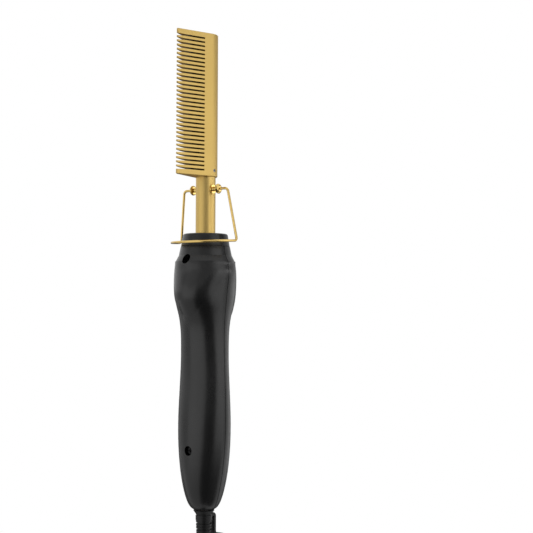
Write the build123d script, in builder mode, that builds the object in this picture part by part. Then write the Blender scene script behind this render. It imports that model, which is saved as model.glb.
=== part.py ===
from build123d import *
import os
from math import atan2, cos, hypot, pi, radians, sin, tan

# An electric hot comb, held upright by its handle. Millimetres, +Z from the grip
# towards the comb, teeth towards +Y, button and lamps on -Y, stand pivot along X.
# The origin is on the handle's axis, in the middle of the grip.

os.makedirs("parts", exist_ok=True)

# ---------------------------------------------------------------- driving dimensions

# Comb head: one extruded bar, round at the back and tapering to the teeth
HEAD_BOTTOM = 137.2
HEAD_LENGTH = 84.6
BARREL_R = 6.9
TIP_Y = 25.6
TIP_R = 0.6
HEAD_CHAMFER = 0.4
SLOT_COUNT = 33
SLOT_PITCH = 2.42
SLOT_ROOT_Y = 7.2
SLOT_WIDTH = 0.98
SLOT_FLARE_Y = 20.5
SLOT_TIP_WIDTH = 1.6
SOCKET_DEPTH = 12.0
HEATER_BORE_R = 4.7
HEATER_BORE_DEPTH = 76.0
SET_SCREW_Z = HEAD_BOTTOM + 3.6
SET_SCREW_R = 1.0

# Stem: the tube that carries the head
STEM_R = 5.85
STEM_WALL = 0.7
STEM_BOTTOM = 80.0

# Stand: a bent wire that turns in two studs on the stem
PIVOT_Z = 130.0
STAND_REST_TILT = 3.0
WIRE_R = 0.75
WIRE_PIN_X = 8.7
WIRE_ELBOW_X = 17.0
WIRE_FOOT_X = 21.9
WIRE_FOOT_Z = -30.8
WIRE_FOOT_Y = -1.3
WIRE_ARC_Y = 0.7
WIRE_ARC_RISE = 19.8
WIRE_ELBOW_R = 2.4
WIRE_FOOT_R = 1.85
STUD_HEAD_R = 2.95
STUD_NECK_R = 1.33
STUD_HEAD_IN_X = 9.1
STUD_HEAD_OUT_X = 11.25
STUD_WASHER_R = 2.5
STUD_SHANK_R = 1.5
PIN_CLEARANCE = 0.05

# Handle housing: a neck, a bulb under the collar and a grip with a waist
SHELL_TOP = 96.2
NECK_TOP_R = 14.5
NECK_SHOULDER_Z = 90.8
NECK_SHOULDER_R = 15.65
NECK_FOOT_R = 17.5
BULB_TOP = 87.3
WALL = 2.2
SEAM_DEPTH = 0.4
SEAM_WIDTH = 0.36
LAP = 1.2
# height, half width along X, half depth along Y, centre along Y
BULB_STATIONS = [
    (BULB_TOP, 17.85, 17.75, 0.0),
    (83.0, 18.3, 17.9, 0.0),
    (78.5, 18.35, 18.5, 0.0),
    (74.0, 17.55, 19.5, 0.0),
    (69.5, 16.85, 19.95, 0.0),
    (65.0, 16.2, 19.6, -0.1),
    (60.5, 15.2, 18.4, -0.5),
    (56.5, 13.9, 16.9, -0.95),
    (53.0, 12.3, 15.0, -1.3),
    (49.0, 7.5, 11.8, -1.3),
]
GRIP_STATIONS = [
    (79.5, 18.0, 17.0, 0.0),
    (74.0, 17.75, 18.0, 0.0),
    (68.5, 17.05, 18.5, 0.0),
    (63.0, 16.4, 18.2, 0.0),
    (57.5, 15.8, 16.1, 0.0),
    (52.0, 15.4, 14.2, 0.0),
    (45.5, 15.1, 13.1, 0.0),
    (37.5, 15.15, 12.55, 0.0),
    (28.0, 15.4, 12.3, 0.0),
    (18.5, 15.85, 12.45, 0.0),
    (9.0, 16.2, 13.05, 0.0),
    (-0.5, 16.45, 13.7, 0.0),
    (-10.0, 16.4, 14.15, 0.0),
    (-19.5, 16.0, 14.25, 0.0),
    (-29.0, 15.1, 14.0, 0.0),
    (-38.0, 13.75, 13.3, 0.0),
    (-45.5, 12.1, 12.15, 0.0),
    (-51.0, 10.6, 10.6, 0.0),
    (-55.0, 8.9, 8.8, 0.0),
    (-57.4, 6.5, 6.4, 0.0),
]
GRIP_BOTTOM = GRIP_STATIONS[-1][0]

# Collar: the black ring round the foot of the stem
COLLAR_TOP = 103.7
COLLAR_BOTTOM = 96.4
COLLAR_TOP_R = 13.1
COLLAR_BOTTOM_R = 14.35
COLLAR_EDGE_R = 1.8
SPIGOT_R = 12.15
SPIGOT_BOTTOM = 92.9

# Holder: the heat-resistant sleeve between the stem and the shells
HOLDER_R = 8.4
HOLDER_TOP = 101.7
HOLDER_RIBS = (84.6, 89.2)
RIB_T = 1.6

# Screws that close the shells
SCREW_Z = (88.5, -22.6)
SCREW_FLOOR_Y = (9.6, 10.4)
SCREW_LENGTH = 22.0
SCREW_R = 1.4
SCREW_HEAD_R = 2.4
SCREW_HEAD_T = 1.7
RECESS_R = 2.8
BOSS_R = 4.2

# Front panel: power button and lamp window
BUTTON_Z = 15.7
BUTTON_R = 4.6
BUTTON_HOLE_R = 5.3
BUTTON_SURFACE_Y = -12.6
BUTTON_PROUD = 0.25
BUTTON_TRAVEL = 0.6
BUTTON_FLANGE_Y = -8.9
BUTTON_FLANGE_R = 6.0
WINDOW_Z = 37.3
WINDOW_W = 10.8
WINDOW_H = 15.2
WINDOW_SURFACE_Y = -12.5
WINDOW_BACK_Y = -9.2
LAMP_PITCH = 4.8
LAMP_W = 2.6
LAMP_H = 1.8

# Circuit board and what is on it
BOARD_FRONT_Y = -2.4
BOARD_T = 1.6
BOARD_W = 17.0
BOARD_Z = (-15.0, 63.0)
BOARD_SCREW_Z = (-10.0, 55.0)
SWITCH_SIZE = 6.0
SWITCH_H = 3.4
LEAD_R = 0.8

# Swivel: the cord's boot turns in a socket at the end of the handle
NECK_R = 4.5
NECK_HOLE_R = 4.9
SOCKET_R = 7.2
SOCKET_BOTTOM = -50.5
SOCKET_TOP = -37.0
SOCKET_FLOOR = 3.0
JOURNAL_R = 3.0
JOURNAL_CLEARANCE = 0.05
FLANGE_R = 4.8
POST_R = 2.0
SHANK_R = 3.2
SHANK_BOTTOM = -66.0
RING_Z = (-44.4, -41.2)
RING_H = 1.8
RING_R = 3.2

# Boot and hanging loop
BOOT_TOP = -57.9
BOOT_SKIRT_R = 6.2
BOOT_RING_TOP = -61.1
BOOT_RING_BOTTOM = -63.8
BOOT_BOTTOM = -97.0
BOOT_R_TOP = 4.65
BOOT_R_BOTTOM = 3.6
RIB_PITCH = 1.8
RIB_COUNT = 15
RIB_GAP = (0.9, 0.55)
RIB_DEPTH = (0.8, 0.4)
LOOP_W = 4.2
LOOP_T = 2.0
LOOP_RING_R = 4.85
LOOP_RING_WALL = 0.7
LOOP_FOOT_Z = -94.8
LOOP_FOOT_H = 2.6
LOOP_FOOT_R = 4.3

# Cord, its hank and its plug
CORD_R = 2.6
CORD_LENGTH = 1800.0
HANK_PITCH = 5.3
HANK_FOLD_R = 15.8
HANK_RUN = 48.0
HANK_LAYERS = 4
HANK_TOP = -129.0
LEAD_CORNER = (0.0, 0.0, -109.5)
LEAD_END = (-12.0, 0.0, -133.0)
TIE_W = 8.0
TIE_T = 1.2
TAIL_BEND_R = 60.0
PLUG_TOP = -177.0
PLUG_BODY_TOP = -190.0
PLUG_BOTTOM = -214.0
PLUG_W = 23.0
PLUG_D = 14.0
BLADE_W = 6.35
BLADE_T = 1.5
BLADE_LENGTH = 17.0
BLADE_SPACING = 12.7

FIT = 0.05


def save(part, label):
    """Labels a finished piece and writes its STEP file."""
    part.label = label
    export_step(part, f"parts/{label}.step")


# ---------------------------------------------------------------- comb head and stem


def make_comb_head():
    """The heated bar with its teeth, in one piece."""
    with BuildPart() as comb_head:
        with BuildSketch(Plane.XY.offset(HEAD_BOTTOM)):
            Circle(BARREL_R)
            with Locations((0, TIP_Y - TIP_R)):
                Circle(TIP_R)
            make_hull()
        extrude(amount=HEAD_LENGTH)
        ends = comb_head.edges().group_by(Axis.Z)
        chamfer(ends[0] + ends[-1], HEAD_CHAMFER)
        with BuildSketch(Plane.YZ):
            middle = HEAD_BOTTOM + HEAD_LENGTH / 2
            with Locations((0, middle)):
                with GridLocations(1, SLOT_PITCH, 1, SLOT_COUNT):
                    Polygon(
                        (SLOT_ROOT_Y, SLOT_WIDTH / 2),
                        (SLOT_FLARE_Y, SLOT_WIDTH / 2),
                        (TIP_Y + 1, SLOT_TIP_WIDTH / 2),
                        (TIP_Y + 1, -SLOT_TIP_WIDTH / 2),
                        (SLOT_FLARE_Y, -SLOT_WIDTH / 2),
                        (SLOT_ROOT_Y, -SLOT_WIDTH / 2),
                        align=None,
                    )
        extrude(amount=BARREL_R, both=True, mode=Mode.SUBTRACT)
        with BuildSketch(Plane.XY.offset(HEAD_BOTTOM)):
            Circle(STEM_R + FIT)
        extrude(amount=SOCKET_DEPTH, mode=Mode.SUBTRACT)
        with BuildSketch(Plane.XY.offset(HEAD_BOTTOM)):
            Circle(HEATER_BORE_R)
        extrude(amount=HEATER_BORE_DEPTH, mode=Mode.SUBTRACT)
        with BuildSketch(Plane.YZ):
            with Locations((0, SET_SCREW_Z)):
                Circle(SET_SCREW_R)
        extrude(amount=-BARREL_R - 1, mode=Mode.SUBTRACT)
    save(comb_head.part, "comb_head")


def make_head_set_screw():
    """The grub screw that pins the head on the stem."""
    with BuildPart() as screw:
        with BuildSketch(Plane.YZ.offset(-BARREL_R + 0.3)):
            with Locations((0, SET_SCREW_Z)):
                Circle(SET_SCREW_R - 0.02)
                RegularPolygon(SET_SCREW_R * 0.55, 6, mode=Mode.SUBTRACT)
        extrude(amount=0.8)
        with BuildSketch(Plane.YZ.offset(-BARREL_R + 1.1)):
            with Locations((0, SET_SCREW_Z)):
                Circle(SET_SCREW_R - 0.02)
        extrude(amount=1.4)
    save(screw.part, "head_set_screw")


def make_stem_tube():
    """The tube from the head down into the handle, with its cross holes."""
    with BuildPart() as stem_tube:
        with BuildSketch(Plane.XY.offset(STEM_BOTTOM)):
            Circle(STEM_R)
            Circle(STEM_R - STEM_WALL, mode=Mode.SUBTRACT)
        extrude(amount=HEAD_BOTTOM + SOCKET_DEPTH - 1 - STEM_BOTTOM)
        with BuildSketch(Plane.YZ):
            with Locations((0, PIVOT_Z)):
                Circle(STUD_SHANK_R)
        extrude(amount=STEM_R + 1, both=True, mode=Mode.SUBTRACT)
        with BuildSketch(Plane.YZ):
            with Locations((0, SET_SCREW_Z)):
                Circle(SET_SCREW_R)
        extrude(amount=-STEM_R - 1, mode=Mode.SUBTRACT)
        with BuildSketch(Plane.XZ):
            with Locations((0, SCREW_Z[0])):
                Circle(SCREW_R + 0.3)
        extrude(amount=STEM_R + 1, both=True, mode=Mode.SUBTRACT)
    save(stem_tube.part, "stem_tube")


def make_heater():
    """The ceramic heater plate, its two half-round clamps and the sensor bead."""
    bottom = HEAD_BOTTOM + SOCKET_DEPTH + 1
    top = HEAD_BOTTOM + HEATER_BORE_DEPTH - 1
    middle = (bottom + top) / 2
    plate_w, plate_t = 7.6, 1.3
    with BuildPart() as heater_plate:
        with Locations((0, 0, middle)):
            Box(plate_w, plate_t, top - bottom - 2)
    save(heater_plate.part, "heater_plate")
    with BuildPart() as heater_clamps:
        with BuildSketch(Plane.XY.offset(bottom)):
            Circle(HEATER_BORE_R - FIT)
            Rectangle(3 * BARREL_R, plate_t + 2 * FIT, mode=Mode.SUBTRACT)
            with Locations((0, HEATER_BORE_R)):
                Rectangle(2.4, 4.0, mode=Mode.SUBTRACT)
        extrude(amount=top - bottom)
    save(heater_clamps.part, "heater_clamps")
    with BuildPart() as temperature_sensor:
        with Locations((0, HEATER_BORE_R - 0.95, bottom + 14)):
            Cylinder(0.85, 6)
        fillet(temperature_sensor.edges(), 0.4)
        for x in (-0.4, 0.4):
            with Locations((x, HEATER_BORE_R - 0.95, bottom + 4)):
                Cylinder(0.2, 15)
    save(temperature_sensor.part, "temperature_sensor")


def make_heater_leads():
    """Two sleeved wires from the heater, past the upper screw, to the board."""
    with BuildPart() as heater_leads:
        for side in (-1, 1):
            with BuildLine() as route:
                FilletPolyline(
                    (side * 2.6, 0.4, HEAD_BOTTOM + SOCKET_DEPTH + 0.8),
                    (side * 2.5, 2.9, HEAD_BOTTOM + 2),
                    (side * 2.5, 2.9, STEM_BOTTOM - 2),
                    (side * 5.0, 1.0, 66),
                    (side * 5.0, LEAD_R + BOARD_FRONT_Y + BOARD_T + FIT, 57),
                    radius=8,
                )
            with BuildSketch(Plane(origin=route.line @ 0, z_dir=route.line % 0)):
                Circle(LEAD_R)
            sweep(path=route.line)
    save(heater_leads.part, "heater_leads")


# ---------------------------------------------------------------- stand


def make_stand_stud(side, label):
    """A riveted pivot stud with a saddle foot, a neck and a domed head."""
    edge = 0.9
    pivot = Axis((0, 0, PIVOT_Z), (1, 0, 0))
    with BuildPart() as stud:
        with BuildSketch(Plane.YZ):
            with Locations((0, PIVOT_Z)):
                Circle(STUD_WASHER_R)
        extrude(amount=side * (STEM_R + 0.3))
        with BuildSketch(Plane.XY.offset(PIVOT_Z - 5)):
            Circle(STEM_R)
        extrude(amount=10, mode=Mode.SUBTRACT)
        with BuildSketch(Plane.XZ):
            with BuildLine():
                Polyline(
                    (side * 3.4, PIVOT_Z),
                    (side * 3.4, PIVOT_Z + 2.1),
                    (side * 4.5, PIVOT_Z + 2.1),
                    (side * 4.5, PIVOT_Z + STUD_SHANK_R),
                    (side * (STEM_R + 0.3), PIVOT_Z + STUD_SHANK_R),
                    (side * (STEM_R + 0.9), PIVOT_Z + STUD_NECK_R),
                    (side * STUD_HEAD_IN_X, PIVOT_Z + STUD_NECK_R),
                    (side * STUD_HEAD_IN_X, PIVOT_Z + STUD_HEAD_R - edge),
                )
                RadiusArc(
                    (side * STUD_HEAD_IN_X, PIVOT_Z + STUD_HEAD_R - edge),
                    (side * (STUD_HEAD_IN_X + edge), PIVOT_Z + STUD_HEAD_R),
                    side * edge,
                )
                RadiusArc(
                    (side * (STUD_HEAD_IN_X + edge), PIVOT_Z + STUD_HEAD_R),
                    (side * STUD_HEAD_OUT_X, PIVOT_Z + 1.3),
                    side * 2.4,
                )
                Polyline(
                    (side * STUD_HEAD_OUT_X, PIVOT_Z + 1.3),
                    (side * STUD_HEAD_OUT_X, PIVOT_Z),
                    (side * 3.4, PIVOT_Z),
                )
            make_face()
        revolve(axis=pivot)
        with BuildSketch(Plane.YZ.offset(side * (WIRE_PIN_X - 0.4))):
            with Locations((0, PIVOT_Z)):
                Circle(WIRE_R + PIN_CLEARANCE)
        extrude(amount=side * 4, mode=Mode.SUBTRACT)
    save(stud.part, label)


def make_wire_stand():
    """One bent wire: a pin in each stud, two splayed legs and a half-round foot."""
    tilt = radians(STAND_REST_TILT)
    stand_plane = Plane(
        origin=(0, 0, PIVOT_Z), x_dir=(1, 0, 0), z_dir=(0, sin(tilt), cos(tilt))
    )
    with BuildPart() as wire_stand:
        with BuildLine(stand_plane) as route:
            FilletPolyline(
                (-WIRE_PIN_X, 0, 0),
                (-WIRE_ELBOW_X, 0, 0),
                (-WIRE_FOOT_X, WIRE_FOOT_Y, WIRE_FOOT_Z),
                (-WIRE_FOOT_X, WIRE_ARC_Y, WIRE_FOOT_Z),
                radius=[WIRE_ELBOW_R, WIRE_FOOT_R],
            )
            ThreePointArc(
                (-WIRE_FOOT_X, WIRE_ARC_Y, WIRE_FOOT_Z),
                (0, WIRE_ARC_Y + WIRE_ARC_RISE, WIRE_FOOT_Z),
                (WIRE_FOOT_X, WIRE_ARC_Y, WIRE_FOOT_Z),
            )
            FilletPolyline(
                (WIRE_FOOT_X, WIRE_ARC_Y, WIRE_FOOT_Z),
                (WIRE_FOOT_X, WIRE_FOOT_Y, WIRE_FOOT_Z),
                (WIRE_ELBOW_X, 0, 0),
                (WIRE_PIN_X, 0, 0),
                radius=[WIRE_FOOT_R, WIRE_ELBOW_R],
            )
        with BuildSketch(Plane(origin=route.line @ 0, z_dir=route.line % 0)):
            Circle(WIRE_R)
        sweep(path=route.line)
    save(wire_stand.part, "wire_stand")


# ---------------------------------------------------------------- handle housing


def oval_loft(stations, inset):
    """A smooth body through ovals at several heights, drawn in by inset."""
    with BuildPart() as body:
        for height, half_x, half_y, centre_y in stations:
            with BuildSketch(Plane.XY.offset(height)):
                with Locations((0, centre_y)):
                    Ellipse(half_y - inset, half_x - inset, rotation=90)
        loft()
    return body.part


def housing_form(inset):
    """The whole handle as a solid, drawn in by inset."""
    with BuildPart() as form:
        add(oval_loft(GRIP_STATIONS, inset))
        add(oval_loft(BULB_STATIONS, inset))
        with BuildSketch(Plane.YZ):
            Polygon(
                (0, SHELL_TOP),
                (NECK_TOP_R - inset, SHELL_TOP),
                (NECK_SHOULDER_R - inset, NECK_SHOULDER_Z),
                (NECK_FOOT_R - inset, BULB_TOP),
                (NECK_FOOT_R - 2 - inset, BULB_TOP - 2),
                (0, BULB_TOP - 2),
                align=None,
            )
        revolve(axis=Axis.Z)
    return form.part


def slab(low, high):
    """A slab square to Y, from Y low to Y high, longer than the handle."""
    with BuildPart() as block:
        with Locations((0, (low + high) / 2, 20)):
            Box(60, high - low, 200)
    return block.part


def front_prism(width, height, z):
    """An oval prism that passes through the front of the handle at height z."""
    with BuildPart() as prism:
        with BuildSketch(Plane.XZ):
            with Locations((0, z)):
                Ellipse(width / 2, height / 2)
        extrude(amount=30)
    return prism.part


def inner_supports():
    """Ribs, end wall and screw bosses, trimmed so that they end in the shells' wall."""
    sleeve_hole = HOLDER_R + 0.1
    with BuildPart() as supports:
        for z, radius, hole, thick in (
            (GRIP_BOTTOM, 7.0, NECK_HOLE_R, 3.4),
            (SOCKET_BOTTOM - RIB_T, 9.6, 5.6, RIB_T),
            (SOCKET_TOP, 12.4, 6.4, RIB_T),
            (HOLDER_RIBS[0], 16.6, sleeve_hole, RIB_T),
            (HOLDER_RIBS[1], 14.6, sleeve_hole, RIB_T),
        ):
            with BuildSketch(Plane.XY.offset(z)):
                Circle(radius)
                Circle(hole, mode=Mode.SUBTRACT)
            extrude(amount=thick)
        for side in (-1, 1):
            for z, start in ((SCREW_Z[0], sleeve_hole), (SCREW_Z[1], 0.0)):
                with BuildSketch(Plane.XZ.offset(side * start)):
                    with Locations((0, z)):
                        Circle(BOSS_R)
                extrude(amount=side * (16.8 - start))
        for z in BOARD_SCREW_Z:
            with BuildSketch(Plane.XZ.offset(-BOARD_FRONT_Y)):
                with Locations((0, z)):
                    Circle(2.6)
            extrude(amount=14)
        add(housing_form(WALL - 0.1), mode=Mode.INTERSECT)
    return supports.part


def lap_slice(inset, low, high):
    """A slice of the handle near the parting plane, drawn in by inset."""
    with BuildPart() as piece:
        add(housing_form(inset))
        add(slab(low, high), mode=Mode.INTERSECT)
    return piece.part


def lap_rebate():
    """The step in the front shell's edge that takes the rear shell's tongue."""
    with BuildPart() as rebate:
        add(lap_slice(WALL / 2, -LAP - 0.1, 1))
        add(housing_form(WALL + 0.15), mode=Mode.SUBTRACT)
    return rebate.part


def seam_groove(seam_floor):
    """The shallow groove that marks the seam between the shells."""
    with BuildPart() as groove:
        add(slab(-SEAM_WIDTH / 2, SEAM_WIDTH / 2))
        add(seam_floor, mode=Mode.SUBTRACT)
    return groove.part


def shell_cavity():
    """The space inside the shells, with the round hole for the swivel's neck."""
    with BuildPart() as cavity:
        add(housing_form(WALL))
        with BuildSketch(Plane.XY.offset(GRIP_BOTTOM)):
            Circle(NECK_HOLE_R)
        extrude(amount=4)
    return cavity.part


def make_shells():
    """The two moulded halves of the handle and the lens of the lamp window."""
    outside = housing_form(0)
    inside = shell_cavity()
    seam_floor = housing_form(SEAM_DEPTH)
    groove = seam_groove(seam_floor)
    supports = inner_supports()

    with BuildPart() as front_shell:
        add(outside)
        add(inside, mode=Mode.SUBTRACT)
        add(supports)
        add(lap_rebate(), mode=Mode.SUBTRACT)
        for z in BOARD_SCREW_Z:
            with BuildSketch(Plane.XZ.offset(-BOARD_FRONT_Y)):
                with Locations((0, z)):
                    Circle(0.9)
            extrude(amount=7, mode=Mode.SUBTRACT)
        for z in SCREW_Z:
            with BuildSketch(Plane.XZ):
                with Locations((0, z)):
                    Circle(SCREW_R)
            extrude(amount=SCREW_LENGTH - SCREW_FLOOR_Y[0] + 0.4, mode=Mode.SUBTRACT)
        add(front_prism(WINDOW_W, WINDOW_H, WINDOW_Z), mode=Mode.SUBTRACT)
        add(
            front_prism(2 * BUTTON_HOLE_R, 2 * BUTTON_HOLE_R, BUTTON_Z),
            mode=Mode.SUBTRACT,
        )
        add(groove, mode=Mode.SUBTRACT)
        add(slab(-30, 0), mode=Mode.INTERSECT)
    save(front_shell.part, "front_shell")

    with BuildPart() as rear_supports:
        add(supports)
        add(slab(0, 30), mode=Mode.INTERSECT)

    with BuildPart() as rear_shell:
        add(outside)
        add(slab(0, 30), mode=Mode.INTERSECT)
        add(lap_slice(WALL / 2 + FIT, -LAP, 0.5))
        add(inside, mode=Mode.SUBTRACT)
        add(rear_supports.part)
        for z, floor in zip(SCREW_Z, SCREW_FLOOR_Y):
            with BuildSketch(Plane.XZ.offset(-floor)):
                with Locations((0, z)):
                    Circle(RECESS_R)
            extrude(amount=-20, mode=Mode.SUBTRACT)
            with BuildSketch(Plane.XZ):
                with Locations((0, z)):
                    Circle(SCREW_R + 0.15)
            extrude(amount=-20, mode=Mode.SUBTRACT)
        add(groove, mode=Mode.SUBTRACT)
    save(rear_shell.part, "rear_shell")

    with BuildPart() as indicator_window:
        add(seam_floor)
        add(
            front_prism(WINDOW_W - 2 * FIT, WINDOW_H - 2 * FIT, WINDOW_Z),
            mode=Mode.INTERSECT,
        )
        add(slab(-30, WINDOW_BACK_Y), mode=Mode.INTERSECT)
        with BuildSketch(Plane.XZ):
            with Locations((0, WINDOW_Z)):
                with GridLocations(1, LAMP_PITCH, 1, 3):
                    Rectangle(LAMP_W + FIT, LAMP_H + FIT)
        extrude(amount=30, mode=Mode.SUBTRACT)
    save(indicator_window.part, "indicator_window")


def make_nose_collar():
    """The black ring that covers the shells' top and closes on the stem."""
    with BuildPart() as nose_collar:
        with BuildSketch(Plane.XZ) as section:
            Polygon(
                (STEM_R + 0.15, COLLAR_TOP),
                (COLLAR_TOP_R, COLLAR_TOP),
                (COLLAR_BOTTOM_R, COLLAR_BOTTOM),
                (SPIGOT_R, COLLAR_BOTTOM),
                (SPIGOT_R, SPIGOT_BOTTOM),
                (SPIGOT_R - 1.8, SPIGOT_BOTTOM),
                (SPIGOT_R - 1.8, HOLDER_TOP),
                (STEM_R + 0.15, HOLDER_TOP),
                align=None,
            )
            rim = section.vertices().group_by(Axis.Z)[-1].sort_by(Axis.X)[-1]
            fillet(rim, COLLAR_EDGE_R)
        revolve(axis=Axis.Z)
    save(nose_collar.part, "nose_collar")


def make_stem_holder():
    """The heat-resistant sleeve that holds the stem in the shells."""
    with BuildPart() as stem_holder:
        with BuildSketch(Plane.XZ):
            Polygon(
                (STEM_R + FIT, HOLDER_TOP),
                (10.1, HOLDER_TOP),
                (10.1, HOLDER_TOP - 2.6),
                (HOLDER_R, HOLDER_TOP - 4.4),
                (HOLDER_R, STEM_BOTTOM - 1.6),
                (4.9, STEM_BOTTOM - 1.6),
                (4.9, STEM_BOTTOM),
                (STEM_R + FIT, STEM_BOTTOM),
                align=None,
            )
        revolve(axis=Axis.Z)
        with BuildSketch(Plane.XZ):
            with Locations((0, SCREW_Z[0])):
                Circle(SCREW_R + 0.3)
        extrude(amount=HOLDER_R + 1, both=True, mode=Mode.SUBTRACT)
    save(stem_holder.part, "stem_holder")


def make_shell_screws():
    """Two pan-head screws with cross recesses, driven from the rear."""
    with BuildPart() as shell_screws:
        for z, floor in zip(SCREW_Z, SCREW_FLOOR_Y):
            with BuildSketch(Plane.XZ.offset(-floor)):
                with Locations((0, z)):
                    Circle(SCREW_R - 0.02)
            extrude(amount=SCREW_LENGTH)
            with BuildSketch(Plane.XZ.offset(-floor)):
                with Locations((0, z)):
                    Circle(SCREW_HEAD_R)
            extrude(amount=-SCREW_HEAD_T)
            with BuildSketch(Plane.XZ.offset(-floor - SCREW_HEAD_T)):
                with Locations((0, z)):
                    Rectangle(2.8, 0.7)
                    Rectangle(0.7, 2.8)
            extrude(amount=1.1, mode=Mode.SUBTRACT)
        heads = shell_screws.edges().filter_by(GeomType.CIRCLE)
        rims = [edge for edge in heads if abs(edge.radius - SCREW_HEAD_R) < 0.01]
        fillet(rims, 0.5)
    save(shell_screws.part, "shell_screws")


# ---------------------------------------------------------------- front panel and board


def make_power_button():
    """The round push button: cap with a raised power symbol, flange and pip."""
    face = -(BUTTON_SURFACE_Y - BUTTON_PROUD)
    with BuildPart() as power_button:
        with BuildSketch(Plane.XZ.offset(-BUTTON_FLANGE_Y)):
            with Locations((0, BUTTON_Z)):
                Circle(BUTTON_R)
        extrude(amount=face + BUTTON_FLANGE_Y)
        fillet(power_button.edges().group_by(Axis.Y)[0], 0.5)
        with BuildSketch(Plane.XZ.offset(-BUTTON_FLANGE_Y)):
            with Locations((0, BUTTON_Z)):
                Circle(BUTTON_FLANGE_R)
        extrude(amount=-1.2)
        with BuildSketch(Plane.XZ.offset(-BUTTON_FLANGE_Y - 1.2)):
            with Locations((0, BUTTON_Z)):
                Circle(1.5)
        extrude(amount=-0.3)
        with BuildSketch(Plane.XZ.offset(face)):
            with Locations((0, BUTTON_Z)):
                Circle(2.1)
                Circle(1.65, mode=Mode.SUBTRACT)
            with Locations((0, BUTTON_Z + 2)):
                Rectangle(1.5, 2.4, mode=Mode.SUBTRACT)
                Rectangle(0.45, 2.6)
        extrude(amount=0.15)
    save(power_button.part, "power_button")


def make_indicator_lamps():
    """Three red light pipes on one bar behind the window."""
    front_y = WINDOW_SURFACE_Y + SEAM_DEPTH
    with BuildPart() as indicator_lamps:
        with BuildSketch(Plane.XZ.offset(-WINDOW_BACK_Y - FIT)):
            with Locations((0, WINDOW_Z)):
                with GridLocations(1, LAMP_PITCH, 1, 3):
                    Rectangle(LAMP_W - FIT, LAMP_H - FIT)
        extrude(amount=-front_y + WINDOW_BACK_Y + FIT)
        with Locations((0, WINDOW_BACK_Y + 0.7, WINDOW_Z)):
            Box(5, 1.3, 2 * LAMP_PITCH + 4)
    save(indicator_lamps.part, "indicator_lamps")


def make_circuit_board():
    """The control board with its screws, switch, lamps and power parts."""
    board_back = BOARD_FRONT_Y + BOARD_T
    board_mid = (BOARD_Z[0] + BOARD_Z[1]) / 2
    with BuildPart() as circuit_board:
        with BuildSketch(Plane.XZ.offset(-board_back)):
            with Locations((0, board_mid)):
                RectangleRounded(BOARD_W, BOARD_Z[1] - BOARD_Z[0], 2)
            for z in BOARD_SCREW_Z:
                with Locations((0, z)):
                    Circle(1.1, mode=Mode.SUBTRACT)
        extrude(amount=BOARD_T)
    save(circuit_board.part, "circuit_board")

    with BuildPart() as board_screws:
        for z in BOARD_SCREW_Z:
            with BuildSketch(Plane.XZ.offset(-board_back)):
                with Locations((0, z)):
                    Circle(0.88)
            extrude(amount=7)
            with BuildSketch(Plane.XZ.offset(-board_back)):
                with Locations((0, z)):
                    Circle(2)
            extrude(amount=-1.2)
            with BuildSketch(Plane.XZ.offset(-board_back - 1.2)):
                with Locations((0, z)):
                    Rectangle(2.2, 0.5)
                    Rectangle(0.5, 2.2)
            extrude(amount=0.7, mode=Mode.SUBTRACT)
    save(board_screws.part, "board_screws")

    with BuildPart() as tact_switch:
        with Locations((0, BOARD_FRONT_Y - SWITCH_H / 2, BUTTON_Z)):
            Box(SWITCH_SIZE, SWITCH_H, SWITCH_SIZE)
        with BuildSketch(Plane.XZ.offset(-BOARD_FRONT_Y + SWITCH_H)):
            with Locations((0, BUTTON_Z)):
                Circle(1.7)
        extrude(amount=0.7)
    save(tact_switch.part, "tact_switch")

    with BuildPart() as status_leds:
        for step in (-1, 0, 1):
            z = WINDOW_Z + step * LAMP_PITCH
            with Locations((0, BOARD_FRONT_Y - 0.4, z)):
                Box(2.0, 0.8, 1.25)
            with Locations((0, BOARD_FRONT_Y - 1.0, z)):
                Box(1.2, 0.4, 1.0)
    save(status_leds.part, "status_leds")

    with BuildPart() as triac:
        with Locations((0, board_back + 2.25, 44)):
            Box(10, 4.5, 9)
        with Locations((0, board_back + 0.65, 51.4)):
            Box(10, 1.3, 0.8)
        with Locations((0, board_back + 0.65, 50)):
            Box(10, 1.3, 3)
        for x in (-2.54, 0, 2.54):
            with Locations((x, board_back + 2.2, 37.5)):
                Box(0.8, 0.5, 4)
            with Locations((x, board_back + 1.1, 35.7)):
                Box(0.8, 2.2, 0.5)
    save(triac.part, "triac")

    with BuildPart() as control_chip:
        with Locations((0, board_back + 1.6, 25.5)):
            Box(9.4, 2.4, 6.4)
        for x in (-3.81, -1.27, 1.27, 3.81):
            for z in (21.7, 29.3):
                with Locations((x, board_back + 0.9, z)):
                    Box(0.5, 1.8, 1.2)
    save(control_chip.part, "control_chip")

    with BuildPart() as filter_capacitor:
        with Locations((0, board_back + 3.75, 14)):
            Box(13, 7.5, 6)
        fillet(filter_capacitor.edges().filter_by(Axis.Y), 0.8)
    save(filter_capacitor.part, "filter_capacitor")

    with BuildPart() as mains_choke:
        with BuildSketch(Plane.XZ.offset(-board_back)):
            with Locations((0, 2)):
                Circle(4.5)
        extrude(amount=-1.2)
        with BuildSketch(Plane.XZ.offset(-board_back - 1.2)):
            with Locations((0, 2)):
                Circle(3.6)
        extrude(amount=-5)
        with BuildSketch(Plane.XZ.offset(-board_back - 6.2)):
            with Locations((0, 2)):
                Circle(4.5)
        extrude(amount=-1.2)
    save(mains_choke.part, "mains_choke")


# ---------------------------------------------------------------- swivel and boot


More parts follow.
